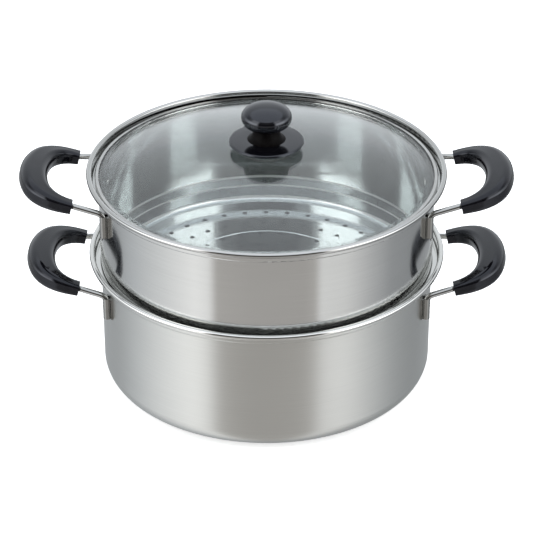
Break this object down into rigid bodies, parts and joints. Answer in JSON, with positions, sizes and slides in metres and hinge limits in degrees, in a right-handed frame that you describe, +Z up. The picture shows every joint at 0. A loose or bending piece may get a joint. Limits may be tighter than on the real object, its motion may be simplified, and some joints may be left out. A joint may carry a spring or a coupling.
{
  "type": "steamer pot",
  "caption": "Two-tier steamer: a deep pot, a perforated steamer tier nested on its rim and a domed glass lid with a black knob and black looped side handles.",
  "frame": {"origin": "centre of the underside of the base, on the vessels' common axis", "axes": "+Z up; +X through the right-hand handles; -Y towards the front as pictured"},
  "size_m": [0.4122, 0.3, 0.25],
  "materials": {
    "satin_steel": "satin, brushed round",
    "polished_steel": "polished stainless steel",
    "aluminium": "plain disc, hidden in the base",
    "glass": "clear tempered glass",
    "black_plastic": "polished black phenolic moulding",
    "brass": "turned",
    "rubber": "grey silicone"
  },
  "bodies": {
    "pot": {"pot_body": "satin_steel", "pot_base_core": "aluminium", "pot_base_cap": "polished_steel", "pot_left_wire": "polished_steel", "pot_left_grip": "black_plastic", "pot_left_plate_front": "polished_steel", "pot_left_plate_back": "polished_steel", "pot_right_wire": "polished_steel", "pot_right_grip": "black_plastic", "pot_right_plate_front": "polished_steel", "pot_right_plate_back": "polished_steel", "pot_rivets": "polished_steel"},
    "steamer": {"steamer_body": "polished_steel", "steamer_left_wire": "polished_steel", "steamer_left_grip": "black_plastic", "steamer_left_plate_front": "polished_steel", "steamer_left_plate_back": "polished_steel", "steamer_right_wire": "polished_steel", "steamer_right_grip": "black_plastic", "steamer_right_plate_front": "polished_steel", "steamer_right_plate_back": "polished_steel", "steamer_rivets": "polished_steel"},
    "lid": {"lid_glass": "glass", "lid_band": "polished_steel", "knob_base": "black_plastic", "knob_head": "black_plastic", "knob_insert": "brass", "knob_screw": "polished_steel", "knob_washer": "polished_steel", "knob_gasket_upper": "rubber", "knob_gasket_lower": "rubber"}
  },
  "joints": [
    {"name": "steamer_lift", "type": "slide", "parent": "pot", "child": "steamer", "axis": [0, 0, 1], "range_m": [0, 0.06]},
    {"name": "lid_lift", "type": "slide", "parent": "steamer", "child": "lid", "axis": [0, 0, 1], "range_m": [0, 0.06]}
  ]
}
